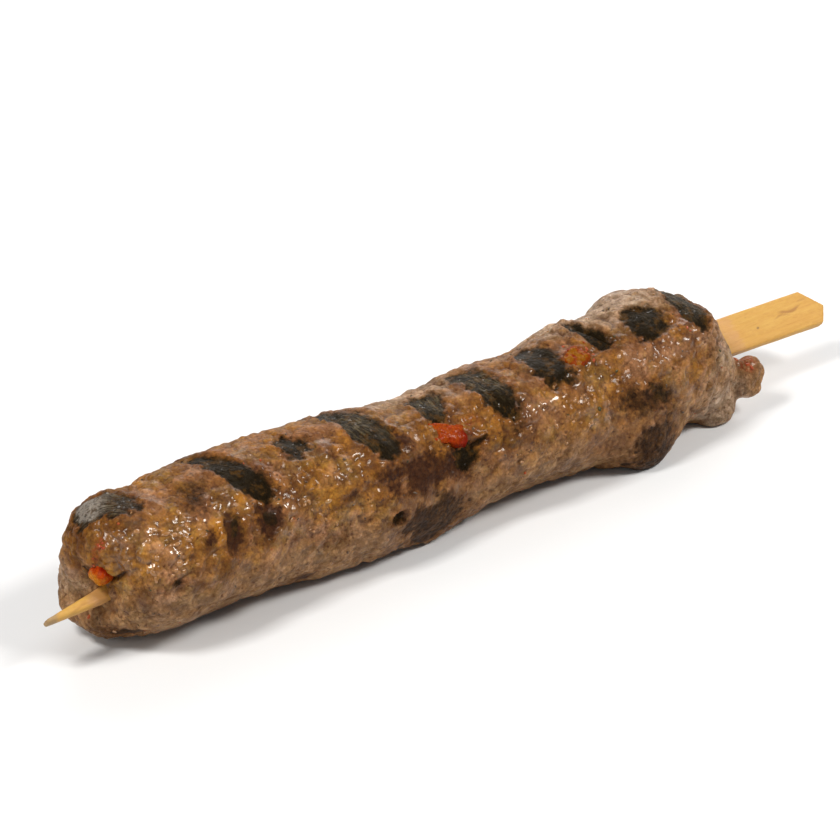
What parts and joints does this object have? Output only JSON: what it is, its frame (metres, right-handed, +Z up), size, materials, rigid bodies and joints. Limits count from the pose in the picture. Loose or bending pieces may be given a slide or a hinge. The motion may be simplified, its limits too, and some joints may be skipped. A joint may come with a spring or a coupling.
{
  "type": "kofta skewer",
  "caption": "Grilled kofta on a flat wooden skewer: a long, lumpy log of spiced mince with dark grill marks and bits of red pepper.",
  "frame": {"origin": "centre of the bounding box's base, on the ground that the kofta rests on", "axes": "+X along the skewer from its pointed tip to its handle, +Y to the back, +Z up"},
  "size_m": [0.21, 0.0354, 0.0315],
  "materials": {
    "grilled_mince": "grilled and greasy",
    "pale_wood": "raw",
    "red_pepper": "glossy"
  },
  "bodies": {
    "root": {"kofta_meat": "grilled_mince", "skewer_stick": "pale_wood", "pepper_piece_end": "red_pepper", "pepper_piece_middle": "red_pepper", "pepper_piece_far": "red_pepper"}
  },
  "joints": []
}
